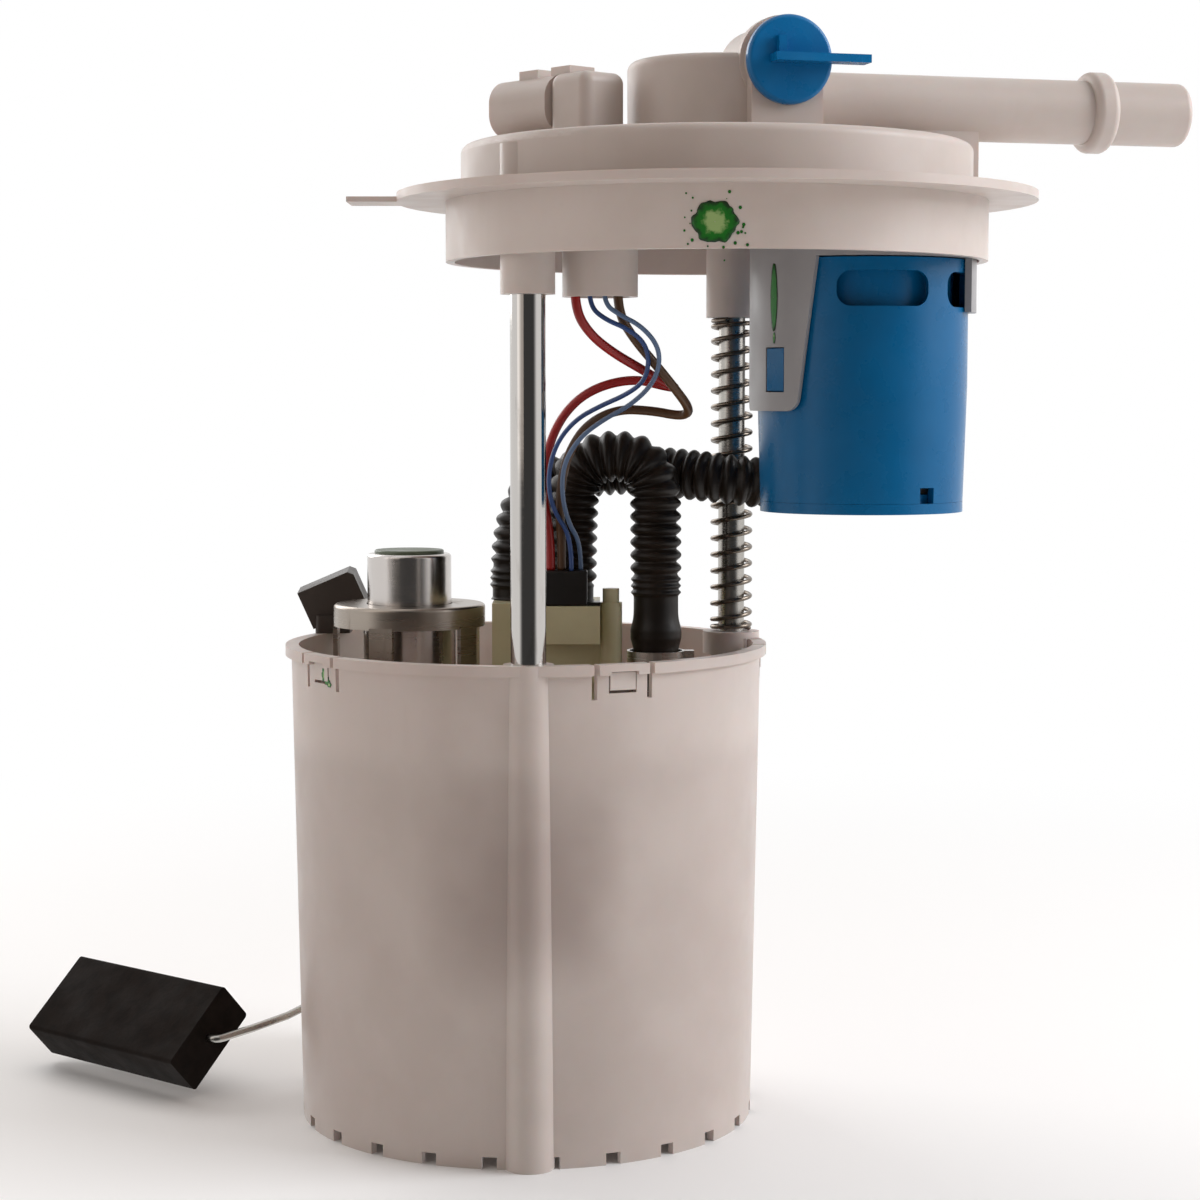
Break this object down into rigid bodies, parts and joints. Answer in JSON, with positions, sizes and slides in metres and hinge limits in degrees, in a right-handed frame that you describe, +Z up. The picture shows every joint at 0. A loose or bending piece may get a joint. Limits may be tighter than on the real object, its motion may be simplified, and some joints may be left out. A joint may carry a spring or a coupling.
{
  "type": "fuel pump module",
  "caption": "In-tank fuel pump module: a round reservoir with pump, filter, regulator and level float under a sprung flanged cover on guide rods.",
  "frame": {"origin": "centre of the reservoir's foot, on the plane that it stands on", "axes": "+Z up towards the cover, +X along the vapour pipe towards its open end, the fuel port points along -Y"},
  "size_m": [0.2743, 0.1881, 0.2604],
  "materials": {
    "white_plastic": "natural white acetal, slightly translucent",
    "cream_plastic": "cream acetal",
    "blue_plastic": "blue acetal",
    "black_plastic": "black nylon",
    "grey_plastic": "dark grey nylon",
    "hose_black": "black corrugated nylon",
    "steel": "zinc plated steel",
    "rod_chrome": "bright plated rod",
    "copper": "copper and brass",
    "magnet": "ferrite",
    "rubber": "fuel resistant rubber",
    "paper": "pleated filter paper",
    "sock": "woven nylon sock",
    "float_foam": "closed cell nitrile foam",
    "red_insulation": "red wire insulation",
    "brown_insulation": "brown wire insulation",
    "blue_insulation": "blue wire insulation",
    "grey_insulation": "blue grey wire insulation",
    "ceramic": "ceramic resistor card"
  },
  "bodies": {
    "reservoir_group": {"reservoir": "white_plastic", "pump_carrier": "white_plastic", "strainer": "sock", "pump_inlet_cover": "black_plastic", "pump_can": "steel", "impeller_plate": "black_plastic", "motor_magnets": "magnet", "brush_holder": "black_plastic", "brushes": "magnet", "pump_outlet_cover": "black_plastic", "pump_isolator": "rubber", "filter_canister": "black_plastic", "filter_element": "paper", "manifold": "cream_plastic", "regulator_body": "steel", "regulator_cap": "steel", "regulator_spring": "steel", "regulator_retainer": "steel", "jet_pump": "black_plastic", "sensor_bracket": "white_plastic", "level_sensor_housing": "grey_plastic", "sensor_card": "ceramic", "sensor_connector": "grey_plastic", "pump_hose": "hose_black", "hose_clamp": "steel", "pump_connector": "black_plastic"},
    "cover_group": {"cover": "white_plastic", "electrical_connector": "white_plastic", "terminal_block": "white_plastic", "connector_terminals": "copper", "valve_bracket": "white_plastic", "front_guide_rod": "rod_chrome", "rear_guide_rod": "steel", "rod_stops": "black_plastic", "rod_spring": "steel", "vent_valve_housing": "blue_plastic", "vent_valve_lid": "blue_plastic", "vent_valve_seal": "rubber", "vent_valve_spring": "steel", "cover_hose": "hose_black", "red_wire": "red_insulation", "brown_wire": "brown_insulation", "blue_wire": "blue_insulation", "grey_wire": "grey_insulation"},
    "pump_rotor": {"armature": "copper", "pump_shaft": "steel", "impeller": "black_plastic"},
    "float_lever": {"wiper_holder": "white_plastic", "float_arm": "steel", "float_clip": "steel"},
    "float_block": {"fuel_float": "float_foam"},
    "plug_body": {"dust_plug": "blue_plastic"},
    "vent_float": {"vent_valve_float": "white_plastic"},
    "check_poppet": {"check_valve": "rubber"},
    "regulator_poppet": {"regulator_valve": "rubber"},
    "foot_flap": {"foot_valve": "rubber"}
  },
  "joints": [
    {"name": "cover_slide", "type": "slide", "parent": "reservoir_group", "child": "cover_group", "axis": [0, 0, 1], "range_m": [-0.03, 0], "stiffness_N_per_m": 120, "springref_m": 0.09, "deforming": ["rod_spring", "cover_hose", "red_wire", "brown_wire", "blue_wire", "grey_wire"]},
    {"name": "float_arm_swing", "type": "hinge", "parent": "reservoir_group", "child": "float_lever", "pos_m": [-0.01915, 0.0657, 0.026], "axis": [-0.5736, 0.8192, 0], "range_deg": [0, 62]},
    {"name": "float_turn", "type": "hinge", "parent": "float_lever", "child": "float_block", "pos_m": [-0.09078, 0.05241, 0.0142], "axis": [-0.5736, 0.8192, 0], "range_deg": [-25, 25]},
    {"name": "dust_plug_pull", "type": "slide", "parent": "cover_group", "child": "plug_body", "axis": [0, -1, 0], "range_m": [0, 0.025]},
    {"name": "pump_spin", "type": "hinge", "parent": "reservoir_group", "child": "pump_rotor", "pos_m": [0.0188, -0.00711, 0.05], "axis": [0, 0, 1], "continuous": true},
    {"name": "vent_float_lift", "type": "slide", "parent": "cover_group", "child": "vent_float", "axis": [0, 0, 1], "range_m": [0, 0.0035], "deforming": ["vent_valve_spring"]},
    {"name": "check_valve_lift", "type": "slide", "parent": "reservoir_group", "child": "check_poppet", "axis": [0, 0, 1], "range_m": [0, 0.002]},
    {"name": "regulator_valve_lift", "type": "slide", "parent": "reservoir_group", "child": "regulator_poppet", "axis": [0, 0, 1], "range_m": [0, 0.001], "stiffness_N_per_m": 200, "springref_m": -0.002, "deforming": ["regulator_spring"]},
    {"name": "foot_valve_lift", "type": "slide", "parent": "reservoir_group", "child": "foot_flap", "axis": [0, 0, 1], "range_m": [0, 0.0014]}
  ]
}
